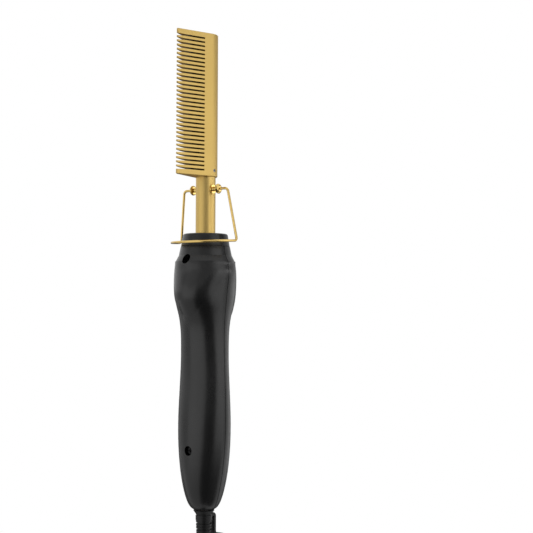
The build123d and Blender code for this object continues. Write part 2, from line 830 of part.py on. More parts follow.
def make_swivel():
    """The socket in the handle, the core that turns in it, and the contacts."""
    bore = SOCKET_R - 1.6
    floor_top = SOCKET_BOTTOM + SOCKET_FLOOR
    with BuildPart() as swivel_socket:
        with BuildSketch(Plane.XY.offset(SOCKET_BOTTOM)):
            Circle(SOCKET_R)
            Circle(JOURNAL_R + JOURNAL_CLEARANCE, mode=Mode.SUBTRACT)
        extrude(amount=SOCKET_FLOOR)
        with BuildSketch(Plane.XY.offset(floor_top)):
            Circle(SOCKET_R)
            Circle(bore, mode=Mode.SUBTRACT)
        extrude(amount=SOCKET_TOP - floor_top)
    save(swivel_socket.part, "swivel_socket")

    with BuildPart() as swivel_core:
        with BuildSketch(Plane.XZ):
            Polygon(
                (0, SOCKET_TOP - 1),
                (POST_R, SOCKET_TOP - 1),
                (POST_R, floor_top + 2.1),
                (FLANGE_R, floor_top + 2.1),
                (FLANGE_R, floor_top + 0.3),
                (JOURNAL_R, floor_top + 0.3),
                (JOURNAL_R, SOCKET_BOTTOM - 0.3),
                (NECK_R, SOCKET_BOTTOM - 0.3),
                (NECK_R, BOOT_TOP),
                (SHANK_R, BOOT_TOP),
                (SHANK_R, SHANK_BOTTOM),
                (0, SHANK_BOTTOM),
                align=None,
            )
        revolve(axis=Axis.Z)
    save(swivel_core.part, "swivel_core")

    with BuildPart() as slip_rings:
        for z in RING_Z:
            with BuildSketch(Plane.XY.offset(z)):
                Circle(RING_R)
                Circle(POST_R, mode=Mode.SUBTRACT)
            extrude(amount=RING_H)
    save(slip_rings.part, "slip_rings")

    with BuildPart() as wiper_contacts:
        for side, z in zip((-1, 1), RING_Z):
            blade_x = side * (RING_R + 0.75)
            with Locations((blade_x, 0, z + RING_H / 2)):
                Box(0.9, 2.4, RING_H)
            top = SOCKET_TOP
            with Locations((blade_x, 0, (z + top) / 2)):
                Box(0.5, 2.4, top - z)
            with Locations((side * (RING_R + 1.7), 0, top + 0.3)):
                Box(2.8, 2.4, 0.6)
    save(wiper_contacts.part, "wiper_contacts")


def make_supply_leads():
    """Two sleeved wires from the board down to the swivel's contacts."""
    lead_y = BOARD_FRONT_Y + BOARD_T + LEAD_R + FIT
    with BuildPart() as supply_leads:
        for side in (-1, 1):
            with BuildLine() as route:
                FilletPolyline(
                    (side * 5.4, lead_y, -7),
                    (side * 6.6, lead_y, -19),
                    (side * 6.6, lead_y, -28),
                    (side * 5.0, lead_y, SOCKET_TOP + 0.75),
                    radius=9,
                )
            with BuildSketch(Plane(origin=route.line @ 0, z_dir=route.line % 0)):
                Circle(LEAD_R)
            sweep(path=route.line)
    save(supply_leads.part, "supply_leads")


def boot_radius(z):
    """Radius of the boot's sleeve at height z."""
    share = (BOOT_RING_BOTTOM - z) / (BOOT_RING_BOTTOM - BOOT_BOTTOM)
    return BOOT_R_TOP + share * (BOOT_R_BOTTOM - BOOT_R_TOP)


def make_cord_boot():
    """The flexible sleeve on the cord: a skirt, a band and stepped ribs."""
    band_r = LOOP_RING_R - LOOP_RING_WALL
    with BuildPart() as cord_boot:
        with BuildSketch(Plane.XZ):
            Polygon(
                (SHANK_R, BOOT_TOP),
                (BOOT_SKIRT_R - 0.3, BOOT_TOP),
                (BOOT_SKIRT_R, BOOT_TOP - 0.4),
                (BOOT_R_TOP, BOOT_RING_TOP + 0.6),
                (band_r, BOOT_RING_TOP + 0.6),
                (band_r, BOOT_RING_BOTTOM),
                (BOOT_R_TOP, BOOT_RING_BOTTOM),
                (BOOT_R_BOTTOM, BOOT_BOTTOM),
                (CORD_R + FIT, BOOT_BOTTOM),
                (CORD_R + FIT, SHANK_BOTTOM),
                (SHANK_R, SHANK_BOTTOM),
                align=None,
            )
        revolve(axis=Axis.Z)
        for step in range(RIB_COUNT):
            z = BOOT_RING_BOTTOM - RIB_PITCH * (step + 1)
            with BuildSketch(Plane.XZ):
                with Locations((boot_radius(z), z)):
                    Rectangle(2 * RIB_DEPTH[step % 2], RIB_GAP[step % 2])
            revolve(axis=Axis.Z, mode=Mode.SUBTRACT)
        with BuildSketch(Plane.XZ):
            with Locations((LOOP_FOOT_R, LOOP_FOOT_Z)):
                Rectangle(2 * LOOP_RING_WALL, LOOP_FOOT_H)
        revolve(axis=Axis.Z, mode=Mode.SUBTRACT)
    save(cord_boot.part, "cord_boot")


def make_hanging_loop():
    """The strap that hangs the comb up, with a ring round the boot at each end."""
    with BuildPart() as hanging_loop:
        with BuildSketch(Plane.YZ):
            with BuildLine():
                FilletPolyline(
                    (-LOOP_RING_R + 0.4, BOOT_RING_TOP - 0.7),
                    (-7.7, BOOT_RING_TOP + 0.3),
                    (-7.7, -74.0),
                    (-17.2, -74.4),
                    (-18.4, -84.5),
                    (-11.0, LOOP_FOOT_Z),
                    (-LOOP_FOOT_R + 0.4, LOOP_FOOT_Z),
                    radius=[1.3, 3.4, 4.4, 6.0, 5.0],
                )
            trace(line_width=LOOP_T)
        extrude(amount=LOOP_W / 2, both=True)
        sides = hanging_loop.faces().sort_by(Axis.X)
        fillet(sides[0].edges() + sides[-1].edges(), 0.4)
        with BuildSketch(Plane.XY.offset(BOOT_RING_BOTTOM)):
            Circle(LOOP_RING_R)
        extrude(amount=BOOT_RING_TOP - BOOT_RING_BOTTOM)
        with BuildSketch(Plane.XY.offset(BOOT_RING_BOTTOM - 1)):
            Circle(LOOP_RING_R - LOOP_RING_WALL)
        extrude(amount=5, mode=Mode.SUBTRACT)
        with BuildSketch(Plane.XY.offset(LOOP_FOOT_Z - LOOP_FOOT_H / 2)):
            Circle(LOOP_FOOT_R)
        extrude(amount=LOOP_FOOT_H)
        with BuildSketch(Plane.XY.offset(LOOP_FOOT_Z - LOOP_FOOT_H)):
            Circle(LOOP_FOOT_R - LOOP_RING_WALL)
        extrude(amount=2 * LOOP_FOOT_H, mode=Mode.SUBTRACT)
    save(hanging_loop.part, "hanging_loop")


# ---------------------------------------------------------------- cord, hank and plug


def make_cord():
    """The hanging lead, the tied hank, the tail to the plug and the plug."""
    lead_turn = atan2(-LEAD_END[0], LEAD_CORNER[2] - LEAD_END[2])
    lead_run = hypot(LEAD_END[0], LEAD_CORNER[2] - LEAD_END[2])
    lead_radius = 0.45 * lead_run / tan(lead_turn / 2)
    print("lead radius", round(lead_radius, 1))
    with BuildPart() as power_cord:
        with BuildLine() as route:
            FilletPolyline((0, 0, SHANK_BOTTOM), LEAD_CORNER, LEAD_END, radius=lead_radius)
        with BuildSketch(Plane(origin=route.line @ 0, z_dir=route.line % 0)):
            Circle(CORD_R)
        sweep(path=route.line)
    save(power_cord.part, "power_cord")

    fold_r = HANK_FOLD_R + HANK_PITCH
    outer_r = fold_r + CORD_R
    hank_height = HANK_RUN + 2 * outer_r
    hank_middle = HANK_TOP - hank_height / 2
    hank_back = (HANK_LAYERS - 1) * HANK_PITCH + CORD_R
    with BuildPart() as cord_hank:
        with BuildSketch(Plane.XZ.offset(CORD_R)):
            with Locations((0, hank_middle)):
                SlotOverall(hank_height, 2 * outer_r, rotation=90)
        extrude(amount=-hank_back - CORD_R)
        fillet(cord_hank.edges(), CORD_R - 0.2)
    save(cord_hank.part, "cord_hank")

    with BuildPart() as hank_tie:
        with BuildSketch(Plane.XY.offset(hank_middle - TIE_W / 2)):
            with Locations((0, (hank_back - CORD_R) / 2)):
                width = 2 * outer_r + 2 * FIT
                depth = hank_back + CORD_R + 2 * FIT
                RectangleRounded(width + 2 * TIE_T, depth + 2 * TIE_T, CORD_R + TIE_T)
                RectangleRounded(width, depth, CORD_R - 0.4, mode=Mode.SUBTRACT)
        extrude(amount=TIE_W)
    save(hank_tie.part, "hank_tie")

    strand_y = hank_back + CORD_R + FIT
    fold_z = HANK_TOP - CORD_R - HANK_PITCH
    plug_y = hank_back + PLUG_D / 2 + 0.2
    points = [
        (3.0, strand_y, fold_z),
        (-HANK_FOLD_R, strand_y, fold_z),
        (-HANK_FOLD_R, plug_y, fold_z - 27),
        (-HANK_FOLD_R, plug_y, PLUG_TOP),
    ]
    last_turn = points[2][1] - points[1][1]
    print("tail radii", HANK_FOLD_R, TAIL_BEND_R, "step", round(last_turn, 2))
    with BuildPart() as cord_tail:
        with BuildLine() as route:
            FilletPolyline(*points, radius=[HANK_FOLD_R, TAIL_BEND_R])
        with BuildSketch(Plane(origin=route.line @ 0, z_dir=route.line % 0)):
            Circle(CORD_R)
        sweep(path=route.line)
    save(cord_tail.part, "cord_tail")
    tail_length = route.wires()[0].length
    tail_volume = pi * CORD_R**2 * tail_length
    print("tail", round(tail_length, 1), round(cord_tail.part.volume / tail_volume, 4))
    turns = HANK_LAYERS * (4 * HANK_RUN + 2 * pi * (HANK_FOLD_R + fold_r))
    lead = BOOT_BOTTOM - HANK_TOP
    print("cord length", round(lead + turns + tail_length, 1), "of", CORD_LENGTH)

    with BuildPart() as plug_body:
        middle = (-HANK_FOLD_R, plug_y)
        with BuildSketch(Plane.XY.offset(PLUG_BODY_TOP)):
            with Locations(middle):
                RectangleRounded(PLUG_W, PLUG_D, 4)
        extrude(amount=PLUG_BOTTOM - PLUG_BODY_TOP)
        fillet(plug_body.edges().group_by(Axis.Z)[-1], 2.5)
        fillet(plug_body.edges().group_by(Axis.Z)[0], 1)
        with BuildSketch(Plane.XY.offset(PLUG_BODY_TOP)):
            with Locations(middle):
                Circle(5)
        with BuildSketch(Plane.XY.offset(PLUG_TOP)):
            with Locations(middle):
                Circle(3.6)
        loft()
        for step in range(3):
            z = PLUG_BODY_TOP + 3.2 + 3.2 * step
            with BuildSketch(Plane.XY.offset(z)):
                with Locations(middle):
                    Circle(6)
                    Circle(3.5, mode=Mode.SUBTRACT)
            extrude(amount=0.9, mode=Mode.SUBTRACT)
    save(plug_body.part, "plug_body")

    with BuildPart() as plug_blades:
        for side in (-1, 1):
            with BuildSketch(Plane.YZ.offset(middle[0] + side * BLADE_SPACING / 2)):
                with Locations((plug_y, PLUG_BOTTOM - BLADE_LENGTH / 2)):
                    RectangleRounded(BLADE_W, BLADE_LENGTH, 1)
                with Locations((plug_y, PLUG_BOTTOM - BLADE_LENGTH + 4)):
                    Circle(1.6, mode=Mode.SUBTRACT)
            extrude(amount=BLADE_T / 2, both=True)
    save(plug_blades.part, "plug_blades")


make_comb_head()
make_head_set_screw()
make_stem_tube()
make_heater()
make_heater_leads()
make_stand_stud(-1, "stand_stud_left")
make_stand_stud(1, "stand_stud_right")
make_wire_stand()
make_shells()
make_nose_collar()
make_stem_holder()
make_shell_screws()
make_power_button()
make_indicator_lamps()
make_circuit_board()
make_swivel()
make_supply_leads()
make_cord_boot()
make_hanging_loop()
make_cord()
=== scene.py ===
"""Studio scene of an electric hot comb with a folding wire stand.

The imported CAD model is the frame. Each sub-assembly is a class that dresses its
own CAD nodes and builds the pieces that the solids only stand in for.
"""

import logging
import math
from dataclasses import dataclass
from enum import Enum

import bpy
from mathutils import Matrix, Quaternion, Vector


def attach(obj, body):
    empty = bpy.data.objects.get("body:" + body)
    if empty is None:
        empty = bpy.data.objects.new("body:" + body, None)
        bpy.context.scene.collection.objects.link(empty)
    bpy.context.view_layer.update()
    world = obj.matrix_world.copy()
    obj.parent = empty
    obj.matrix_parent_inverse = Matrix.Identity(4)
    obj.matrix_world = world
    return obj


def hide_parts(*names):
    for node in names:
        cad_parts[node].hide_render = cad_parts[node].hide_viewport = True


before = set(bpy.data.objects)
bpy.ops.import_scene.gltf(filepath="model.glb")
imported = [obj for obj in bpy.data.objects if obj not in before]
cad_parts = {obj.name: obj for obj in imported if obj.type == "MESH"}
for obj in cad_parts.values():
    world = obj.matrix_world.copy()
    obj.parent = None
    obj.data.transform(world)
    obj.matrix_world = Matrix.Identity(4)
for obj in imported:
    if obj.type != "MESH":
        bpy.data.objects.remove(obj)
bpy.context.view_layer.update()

LOG = logging.getLogger("hot_comb")
Colour = tuple[float, float, float]
Point = tuple[float, float, float]
Span = tuple[float, float]
Feed = bpy.types.NodeSocket | tuple | float
WHITE = (1.0, 1.0, 1.0, 1.0)
BLACK = (0.0, 0.0, 0.0, 1.0)


# ---------------------------------------------------------------- node helpers


def feed(tree: bpy.types.NodeTree, value: Feed, target: bpy.types.NodeSocket) -> None:
    """Links a socket to an input, or sets the input to a number, colour or vector.

    Args:
        tree: The tree that both are in.
        value: The socket, number, colour or vector.
        target: The input.
    """
    if isinstance(value, bpy.types.NodeSocket):
        tree.links.new(value, target)
    else:
        target.default_value = value


def combine(tree: bpy.types.NodeTree, operation: str, *values: Feed) -> bpy.types.NodeSocket:
    """Adds a Math node.

    Args:
        tree: The tree that it goes in.
        operation: What it does.
        values: What goes into its inputs, in order.

    Returns:
        Its result.
    """
    node = tree.nodes.new("ShaderNodeMath")
    node.operation = operation
    for value, target in zip(values, node.inputs):
        feed(tree, value, target)
    return node.outputs["Value"]


def remap(
    tree: bpy.types.NodeTree,
    value: Feed,
    taken: tuple[Feed, Feed],
    given: tuple[Feed, Feed],
    interpolation: str = "LINEAR",
) -> bpy.types.NodeSocket:
    """Adds a Map Range node, which clamps its result.

    Args:
        tree: The tree that it goes in.
        value: What is mapped.
        taken: The two ends of the range that value comes in.
        given: What the result is at each of them.
        interpolation: How the result goes from one to the other.

    Returns:
        Its result.
    """
    node = tree.nodes.new("ShaderNodeMapRange")
    node.interpolation_type = interpolation
    feed(tree, value, node.inputs["Value"])
    feed(tree, taken[0], node.inputs["From Min"])
    feed(tree, taken[1], node.inputs["From Max"])
    feed(tree, given[0], node.inputs["To Min"])
    feed(tree, given[1], node.inputs["To Max"])
    return node.outputs["Result"]


def blend(tree: bpy.types.NodeTree, mask: Feed, first: Feed, second: Feed) -> bpy.types.NodeSocket:
    """Adds a Mix node for colours.

    Args:
        tree: The tree that it goes in.
        mask: The share of the second colour.
        first: The colour where mask is 0.
        second: The colour where mask is 1.

    Returns:
        The mixed colour.
    """
    node = tree.nodes.new("ShaderNodeMix")
    node.data_type = "RGBA"
    feed(tree, mask, node.inputs["Factor"])
    feed(tree, first, node.inputs["A"])
    feed(tree, second, node.inputs["B"])
    return node.outputs["Result"]


def blank_material(name: str) -> tuple[bpy.types.Material, bpy.types.Node]:
    """Makes a material with a plain Principled BSDF.

    Args:
        name: The material's name.

    Returns:
        The material and its shader.
    """
    material = bpy.data.materials.new(name)
    material.use_nodes = True
    return material, material.node_tree.nodes["Principled BSDF"]


def linked_object(name: str, data: bpy.types.ID) -> bpy.types.Object:
    """Makes an object and links it to the scene.

    Args:
        name: The object's name.
        data: Its mesh, curve, lamp or camera.

    Returns:
        The object.
    """
    made = bpy.data.objects.new(name, data)
    bpy.context.scene.collection.objects.link(made)
    return made


# ---------------------------------------------------------------- shader groups


class Grain(Enum):
    """The surface textures that a finish can have, by their group's name."""

    MOULDED = "moulded_grain"
    DRAWN = "drawn_lines"
    BLASTED = "blasted_frost"


@dataclass(frozen=True)
class SlotShade:
    """The walls of the slots between the teeth, and the painted shade that darkens them.

    Their colour is painted shade, a dark brown in place of the shade that falls deep
    between the teeth. They go as far as reach each way from middle along Z. Along Y
    they begin at start, just short of the slots' roots, and the painted shade fades
    out from fade_start to fade_end. Places are in metres.
    """

    tone: Colour
    middle: float
    reach: float
    start: float
    fade_start: float
    fade_end: float


class GroupBuilder:
    """Builds the node groups that the finishes are made of."""

    noise_roughness: float = 0.55
    noise_span: Span = (0.3, 0.7)
    sideways: float = 0.4

    def __init__(self) -> None:
        """Starts with no groups."""
        self.grains: dict[Grain, bpy.types.NodeTree] = {}
        self.slot_shade_mask: bpy.types.NodeTree | None = None

    @staticmethod
    def _inputs(tree: bpy.types.NodeTree, kind: str, inputs: dict[str, Feed]) -> None:
        """Adds named inputs of one kind to a group.

        Args:
            tree: The group.
            kind: The sockets' type.
            inputs: Their names and defaults.
        """
        for name, value in inputs.items():
            made = tree.interface.new_socket(name=name, in_out="INPUT", socket_type=kind)
            made.default_value = value

    @staticmethod
    def _outputs(tree: bpy.types.NodeTree, outputs: dict[str, str]) -> None:
        """Adds named outputs to a group.

        Args:
            tree: The group.
            outputs: Their names and types.
        """
        for name, kind in outputs.items():
            tree.interface.new_socket(name=name, in_out="OUTPUT", socket_type=kind)

    def _new_grain(self, name: str) -> bpy.types.NodeTree:
        """Makes an empty group with the inputs and outputs that every grain has.

        Args:
            name: The group's name.

        Returns:
            The group.
        """
        tree = bpy.data.node_groups.new(name, "ShaderNodeTree")
        grey = (0.5, 0.5, 0.5, 1.0)
        self._inputs(tree, "NodeSocketVector", {"Vector": (0.0, 0.0, 0.0)})
        self._inputs(tree, "NodeSocketFloat", {"Smooth": 0.3, "Rough": 0.4, "Grain": 1.0})
        self._inputs(tree, "NodeSocketColor", {"Tone A": grey, "Tone B": grey})
        self._outputs(tree, {
            "Color": "NodeSocketColor", "Roughness": "NodeSocketFloat", "Height": "NodeSocketFloat",
        })
        tree.nodes.new("NodeGroupInput").name = "in"
        tree.nodes.new("NodeGroupOutput").name = "out"
        return tree

    def _noise(
        self, tree: bpy.types.NodeTree, vector: bpy.types.NodeSocket, scale: float, detail: float
    ) -> bpy.types.NodeSocket:
        """Adds a noise texture.

        Args:
            tree: The group.
            vector: Where the texture is read.
            scale: Its scale, in features per metre.
            detail: Its octaves.

        Returns:
            The noise.
        """
        noise = tree.nodes.new("ShaderNodeTexNoise")
        noise.inputs["Scale"].default_value = scale
        noise.inputs["Detail"].default_value = detail
        noise.inputs["Roughness"].default_value = self.noise_roughness
        tree.links.new(vector, noise.inputs["Vector"])
        return noise.outputs["Fac"]

    @staticmethod
    def _scaled(tree: bpy.types.NodeTree, vector: bpy.types.NodeSocket) -> bpy.types.NodeSocket:
        """Scales a vector by the group's Grain input.

        Args:
            tree: The group.
            vector: The vector.

        Returns:
            The scaled vector.
        """
        node = tree.nodes.new("ShaderNodeVectorMath")
        node.operation = "SCALE"
        tree.links.new(vector, node.inputs[0])
        tree.links.new(tree.nodes["in"].outputs["Grain"], node.inputs["Scale"])
        return node.outputs["Vector"]

    def _put_out(
        self,
        tree: bpy.types.NodeTree,
        tint: bpy.types.NodeSocket,
        rough: bpy.types.NodeSocket,
        height: bpy.types.NodeSocket,
    ) -> None:
        """Turns three masks into the group's colour, roughness and height.

        Args:
            tree: The group.
            tint: Mask between the two tones.
            rough: Mask between the two roughnesses.
            height: The height itself.
        """
        source, target = tree.nodes["in"].outputs, tree.nodes["out"].inputs
        colour = blend(tree, tint, source["Tone A"], source["Tone B"])
        roughness = remap(tree, rough, self.noise_span, (source["Smooth"], source["Rough"]))
        tree.links.new(colour, target["Color"])
        tree.links.new(roughness, target["Roughness"])
        tree.links.new(height, target["Height"])

    def _moulded(self, tree: bpy.types.NodeTree) -> None:
        """Fills in a fine spark-eroded mould texture with a faint bloom of handling.

        Args:
            tree: The group.
        """
        place = tree.nodes["in"].outputs["Vector"]
        fine = self._scaled(tree, place)
        bloom = self._noise(tree, place, scale=38.0, detail=3.0)
        wear = self._noise(tree, place, scale=160.0, detail=4.0)
        grain = self._noise(tree, fine, scale=3200.0, detail=2.0)
        pits = tree.nodes.new("ShaderNodeTexVoronoi")
        pits.feature = "SMOOTH_F1"
        pits.inputs["Scale"].default_value = 2600.0
        tree.links.new(fine, pits.inputs["Vector"])
        pit_share, wear_share = 0.6, 0.5
        height = combine(tree, "MULTIPLY_ADD", pits.outputs["Distance"], pit_share, grain)
        handled = combine(tree, "MULTIPLY_ADD", wear, wear_share, bloom)
        rough = combine(tree, "SUBTRACT", handled, wear_share / 2)
        self._put_out(tree, bloom, rough, height)

    def _drawn(self, tree: bpy.types.NodeTree) -> None:
        """Fills in fine lines along Z, as on drawn, extruded or brushed metal.

        Args:
            tree: The group.
        """
        place = tree.nodes["in"].outputs["Vector"]
        drawn_out = (1.0, 1.0, 0.03)
        stretch = tree.nodes.new("ShaderNodeVectorMath")
        stretch.operation = "MULTIPLY"
        tree.links.new(place, stretch.inputs[0])
        stretch.inputs[1].default_value = drawn_out
        fine = self._scaled(tree, stretch.outputs["Vector"])
        lines = self._noise(tree, fine, scale=2600.0, detail=3.0)
        cloud = self._noise(tree, place, scale=55.0, detail=3.0)
        self._put_out(tree, cloud, lines, lines)

    def _blasted(self, tree: bpy.types.NodeTree) -> None:
        """Fills in bead-blasted and plated metal: a very fine, even frost.

        Args:
            tree: The group.
        """
        place = tree.nodes["in"].outputs["Vector"]
        frost = self._noise(tree, self._scaled(tree, place), scale=4200.0, detail=2.0)
        cloud = self._noise(tree, place, scale=70.0, detail=4.0)
        self._put_out(tree, cloud, cloud, frost)

    def grain(self, kind: Grain) -> bpy.types.NodeTree:
        """Gives the group of a surface texture, built the first time it is asked for.

        Args:
            kind: The texture.

        Returns:
            The group.
        """
        if kind not in self.grains:
            tree = self._new_grain(kind.value)
            fill = {
                Grain.MOULDED: self._moulded,
                Grain.DRAWN: self._drawn,
                Grain.BLASTED: self._blasted,
            }[kind]
            fill(tree)
            self.grains[kind] = tree
        return self.grains[kind]

    def painted_slot_shade(self) -> bpy.types.NodeTree:
        """Gives the mask of painted shade on the slot walls and roots between the teeth.

        The mask is 1 where a face doesn't look sideways, lies within reach of the
        middle slot along Z and is past start along Y. It fades out towards the tips.

        Returns:
            The group.
        """
        if self.slot_shade_mask is not None:
            return self.slot_shade_mask
        tree = bpy.data.node_groups.new("painted_slot_shade", "ShaderNodeTree")
        blank = (0.0, 0.0, 0.0)
        self._inputs(tree, "NodeSocketVector", {"Vector": blank, "Normal": blank})
        self._inputs(tree, "NodeSocketFloat", {
            "Middle": 0.0, "Reach": 1.0, "Start": 0.0, "Fade Start": 0.0, "Fade End": 1.0,
        })
        self._outputs(tree, {"Mask": "NodeSocketFloat"})
        source = tree.nodes.new("NodeGroupInput").outputs
        target = tree.nodes.new("NodeGroupOutput").inputs
        facing = tree.nodes.new("ShaderNodeSeparateXYZ")
        tree.links.new(source["Normal"], facing.inputs[0])
        place = tree.nodes.new("ShaderNodeSeparateXYZ")
        tree.links.new(source["Vector"], place.inputs[0])
        across, along = place.outputs["Y"], place.outputs["Z"]
        walls = combine(tree, "COMPARE", facing.outputs["X"], 0.0, self.sideways)
        within = combine(tree, "COMPARE", along, source["Middle"], source["Reach"])
        past_start = combine(tree, "GREATER_THAN", across, source["Start"])
        fade = remap(tree, across, (source["Fade Start"], source["Fade End"]), (1.0, 0.0))
        both = combine(tree, "MULTIPLY", walls, within)
        inside = combine(tree, "MULTIPLY", both, past_start)
        tree.links.new(combine(tree, "MULTIPLY", inside, fade), target["Mask"])
        self.slot_shade_mask = tree
        return tree


# ---------------------------------------------------------------- finishes


@dataclass(frozen=True)
class Finish:
    """One surface finish. Bump heights are in metres."""

    name: str
    tone_a: Colour
    tone_b: Colour
    smooth: float
    rough: float
    grain: Grain
    grain_scale: float = 1.0
    bump: float = 0.00001
    bump_strength: float = 0.4
    metallic: float = 0.0
    ior: float = 1.5
    coat: float = 0.0
    coat_roughness: float = 0.12
    glow: float = 0.0
    # slots, where given, paints shade on the slot walls between the comb's teeth
    slots: SlotShade | None = None

    def _paint_slot_shade(
        self,
        tree: bpy.types.NodeTree,
        groups: GroupBuilder,
        place: bpy.types.Node,
        colour: bpy.types.NodeSocket,
    ) -> bpy.types.NodeSocket:
        """Paints shade onto the walls of the slots, which lie deep in shade between the teeth.

        Args:
            tree: The material's tree.
            groups: The shared node groups.
            place: The texture coordinates.
            colour: The colour elsewhere.

        Returns:
            The colour with the painted slot shade mixed in.
        """
        mask = tree.nodes.new("ShaderNodeGroup")
        mask.node_tree = groups.painted_slot_shade()
        tree.links.new(place.outputs["Object"], mask.inputs["Vector"])
        tree.links.new(place.outputs["Normal"], mask.inputs["Normal"])
        mask.inputs["Middle"].default_value = self.slots.middle
        mask.inputs["Reach"].default_value = self.slots.reach
        mask.inputs["Start"].default_value = self.slots.start
        mask.inputs["Fade Start"].default_value = self.slots.fade_start
        mask.inputs["Fade End"].default_value = self.slots.fade_end
        return blend(tree, mask.outputs["Mask"], colour, (*self.slots.tone, 1.0))

    def material(self, groups: GroupBuilder) -> bpy.types.Material:
        """Makes the material.

        Args:
            groups: The shared node groups.

        Returns:
            The material.
        """
        material, shader = blank_material(self.name)
        tree = material.node_tree
        shader.inputs["Metallic"].default_value = self.metallic
        shader.inputs["IOR"].default_value = self.ior
        shader.inputs["Coat Weight"].default_value = self.coat
        shader.inputs["Coat Roughness"].default_value = self.coat_roughness
        place = tree.nodes.new("ShaderNodeTexCoord")
        grain = tree.nodes.new("ShaderNodeGroup")
        grain.node_tree = groups.grain(self.grain)
        grain.inputs["Smooth"].default_value = self.smooth
        grain.inputs["Rough"].default_value = self.rough
        grain.inputs["Grain"].default_value = self.grain_scale
        grain.inputs["Tone A"].default_value = (*self.tone_a, 1.0)
        grain.inputs["Tone B"].default_value = (*self.tone_b, 1.0)
        tree.links.new(place.outputs["Object"], grain.inputs["Vector"])
        colour = grain.outputs["Color"]
        # painted shade in the gaps between the teeth
        if self.slots:
            colour = self._paint_slot_shade(tree, groups, place, colour)
        tree.links.new(colour, shader.inputs["Base Color"])
        tree.links.new(grain.outputs["Roughness"], shader.inputs["Roughness"])
        bump = tree.nodes.new("ShaderNodeBump")
        bump.inputs["Strength"].default_value = self.bump_strength
        bump.inputs["Distance"].default_value = self.bump
        tree.links.new(grain.outputs["Height"], bump.inputs["Height"])
        tree.links.new(bump.outputs["Normal"], shader.inputs["Normal"])
        if self.glow:
            shader.inputs["Emission Strength"].default_value = self.glow
            tree.links.new(grain.outputs["Color"], shader.inputs["Emission Color"])
        return material


# Painted shade: dark brown on the walls between the comb's teeth, where the gaps lie in shade.
COMB_SLOT_SHADE = SlotShade(tone=(0.10, 0.052, 0.014), middle=0.1795, reach=0.0396, start=0.0068,
                       fade_start=0.013, fade_end=0.024)
GOLD_FROST = Finish("gold_frost", (0.54, 0.375, 0.115), (0.60, 0.42, 0.14), 0.38, 0.46,
                    Grain.BLASTED, 1.0, 0.000012, 0.25, metallic=1.0, slots=COMB_SLOT_SHADE)
GOLD_TUBE = Finish("gold_tube", (0.56, 0.39, 0.125), (0.61, 0.43, 0.145), 0.34, 0.40,
                   Grain.DRAWN, 1.0, 0.000002, 0.08, metallic=1.0)
GOLD_POLISH = Finish("gold_polish", (0.70, 0.49, 0.16), (0.76, 0.54, 0.19), 0.04, 0.07,
                     Grain.BLASTED, 1.0, 0.0000005, 0.03, metallic=1.0)
BLACK_SHELL = Finish("black_shell", (0.002, 0.002, 0.0022), (0.003, 0.003, 0.0033), 0.27, 0.31,
                     Grain.MOULDED, 1.0, 0.000012, 0.2)
BLACK_SATIN = Finish("black_satin", (0.002, 0.002, 0.0022), (0.003, 0.003, 0.0033), 0.27, 0.32,
                     Grain.MOULDED, 1.3, 0.000010, 0.2, ior=1.46)
BLACK_RUBBER = Finish("black_rubber", (0.002, 0.002, 0.0022), (0.0035, 0.0035, 0.0038),
                      0.40, 0.52, Grain.MOULDED, 0.8, 0.00003, 0.4, ior=1.38)
CORD_JACKET = Finish("cord_jacket", (0.013, 0.013, 0.014), (0.022, 0.022, 0.023), 0.42, 0.55,
                     Grain.MOULDED, 0.6, 0.00003, 0.35)
TIE_STRAP = Finish("tie_strap", (0.014, 0.014, 0.015), (0.030, 0.030, 0.031), 0.70, 0.90,
                   Grain.MOULDED, 0.35, 0.00012, 0.8, ior=1.4)
SMOKED_LENS = Finish("smoked_lens", (0.003, 0.002, 0.002), (0.005, 0.003, 0.003), 0.20, 0.26,
                     Grain.MOULDED, 0.5, 0.000003, 0.1, ior=1.49)
LIT_LAMP = Finish("lit_lamp", (0.085, 0.006, 0.007), (0.12, 0.010, 0.011), 0.12, 0.2,
                  Grain.MOULDED, 0.5, 0.000005, 0.1, ior=1.49, glow=1.2)
BLACK_STEEL = Finish("black_steel", (0.010, 0.010, 0.011), (0.018, 0.018, 0.019), 0.35, 0.5,
                     Grain.BLASTED, 0.8, 0.00001, 0.3, metallic=0.6)
DARK_STEEL = Finish("dark_steel", (0.22, 0.22, 0.23), (0.32, 0.32, 0.33), 0.25, 0.42,
                    Grain.BLASTED, 0.8, 0.00001, 0.3, metallic=1.0)
HOLDER_RESIN = Finish("holder_resin", (0.10, 0.09, 0.085), (0.14, 0.13, 0.12), 0.45, 0.6,
                      Grain.MOULDED, 1.0, 0.00003, 0.4)
BOARD_LACQUER = Finish("board_lacquer", (0.010, 0.085, 0.030), (0.016, 0.12, 0.045), 0.2, 0.35,
                       Grain.DRAWN, 0.6, 0.00002, 0.3, coat=0.4)
CHIP_RESIN = Finish("chip_resin", (0.018, 0.018, 0.019), (0.028, 0.028, 0.029), 0.5, 0.65,
                    Grain.MOULDED, 1.0, 0.00002, 0.4)
CAPACITOR_FILM = Finish("capacitor_film", (0.66, 0.40, 0.03), (0.74, 0.47, 0.05), 0.25, 0.35,
                        Grain.MOULDED, 0.7, 0.00001, 0.2)
HEATER_CERAMIC = Finish("heater_ceramic", (0.74, 0.73, 0.69), (0.80, 0.79, 0.76), 0.5, 0.7,
                        Grain.BLASTED, 0.7, 0.00002, 0.4)
BARE_ALUMINIUM = Finish("bare_aluminium", (0.55, 0.55, 0.56), (0.64, 0.64, 0.65), 0.3, 0.45,
                        Grain.DRAWN, 0.8, 0.00001, 0.3, metallic=1.0)
SENSOR_BEAD = Finish("sensor_bead", (0.22, 0.06, 0.015), (0.30, 0.09, 0.02), 0.15, 0.25,
                     Grain.BLASTED, 0.7, 0.00001, 0.2, coat=0.5)
